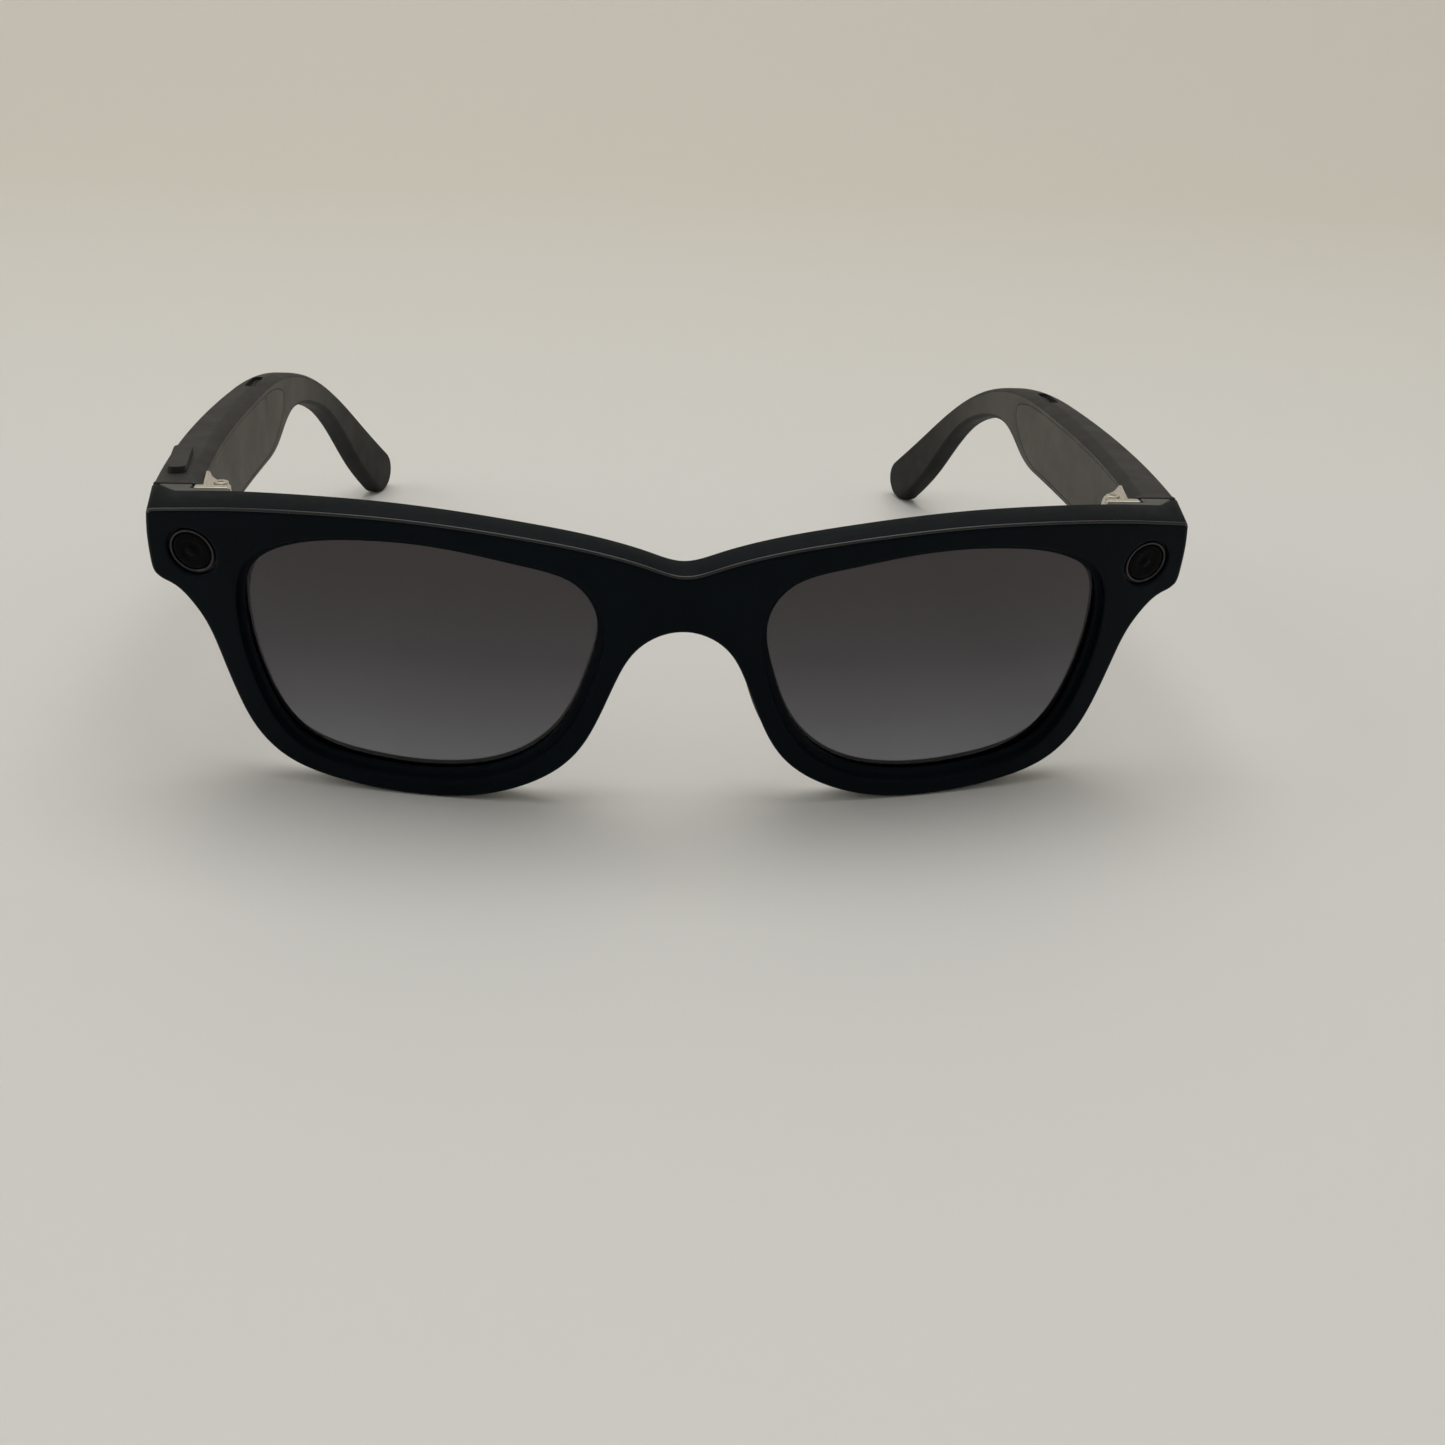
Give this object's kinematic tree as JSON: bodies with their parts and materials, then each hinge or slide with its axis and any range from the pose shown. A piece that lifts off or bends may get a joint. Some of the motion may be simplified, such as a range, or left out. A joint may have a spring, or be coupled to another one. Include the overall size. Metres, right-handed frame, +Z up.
{
  "type": "smart glasses",
  "caption": "Square-rimmed tinted sunglasses with a camera and a light window at the ends of the front and thick folding temples that hold the electronics.",
  "frame": {"origin": "middle of the bounding box at its base, on the surface the open glasses stand on", "axes": "+Z up; the wearer looks along -Y, so the front is at -Y and the temples run back along +Y; +X is the wearer's left"},
  "size_m": [0.154, 0.1532, 0.0455],
  "materials": {
    "front_nylon": "satin blue-black moulded nylon with polished edges",
    "tinted_lens": "grey gradient tint, darker at the top, polished",
    "window_glass": "black polished",
    "dark_ring": "thin dark satin ring",
    "black_plastic": "matte black",
    "endpiece_nylon": "satin grey",
    "gold_plate": "gold plated",
    "copper_flex": "amber flexible circuit",
    "shield_foil": "satin foil",
    "hinge_metal": "pale champagne, lightly brushed",
    "temple_nylon": "fine matte dark grey",
    "cover_nylon": "fine matte warm grey",
    "green_board": "solder mask green",
    "button_plastic": "matte warm grey"
  },
  "bodies": {
    "front": {"front_frame": "front_nylon", "lens_left": "tinted_lens", "lens_right": "tinted_lens", "camera_window": "window_glass", "camera_trim": "dark_ring", "camera_module": "black_plastic", "led_window": "window_glass", "led_trim": "dark_ring", "led_module": "black_plastic", "endpiece_block_left": "endpiece_nylon", "endpiece_block_right": "endpiece_nylon", "charge_contact_left": "gold_plate", "charge_contact_right": "gold_plate", "front_flex": "copper_flex", "bridge_microphone": "shield_foil", "hinge_leaf_front_left": "hinge_metal", "hinge_leaf_front_right": "hinge_metal", "hinge_pin_left": "hinge_metal", "hinge_pin_right": "hinge_metal"},
    "temple_left": {"temple_shell_left": "temple_nylon", "temple_cover_left": "cover_nylon", "hinge_leaf_temple_left": "hinge_metal", "speaker_left": "black_plastic", "speaker_grille_left": "black_plastic", "temple_microphone_left": "shield_foil", "temple_flex_left": "copper_flex", "battery": "shield_foil", "switch_board": "green_board"},
    "power_switch": {"power_switch": "button_plastic"},
    "temple_right": {"temple_shell_right": "temple_nylon", "temple_cover_right": "cover_nylon", "hinge_leaf_temple_right": "hinge_metal", "speaker_right": "black_plastic", "speaker_grille_right": "black_plastic", "temple_microphone_right": "shield_foil", "temple_flex_right": "copper_flex", "touch_sensor": "copper_flex", "main_board": "green_board", "processor": "shield_foil", "tact_switch": "black_plastic"},
    "capture_button": {"capture_button": "button_plastic"}
  },
  "joints": [
    {"name": "left_temple_hinge", "type": "hinge", "parent": "front", "child": "temple_left", "pos_m": [0.0662, -0.05221, 0.03795], "axis": [0, 0.0372, 0.9993], "range_deg": [0, 88]},
    {"name": "right_temple_hinge", "type": "hinge", "parent": "front", "child": "temple_right", "pos_m": [-0.0662, -0.05221, 0.03795], "axis": [0, -0.0372, -0.9993], "range_deg": [0, 77]},
    {"name": "power_switch_slide", "type": "slide", "parent": "temple_left", "child": "power_switch", "axis": [0, 0.9993, -0.0372], "range_m": [0, 0.002]},
    {"name": "capture_button_press", "type": "slide", "parent": "temple_right", "child": "capture_button", "axis": [0, -0.0372, -0.9993], "range_m": [0, 0.0004], "stiffness_N_per_m": 2000}
  ]
}
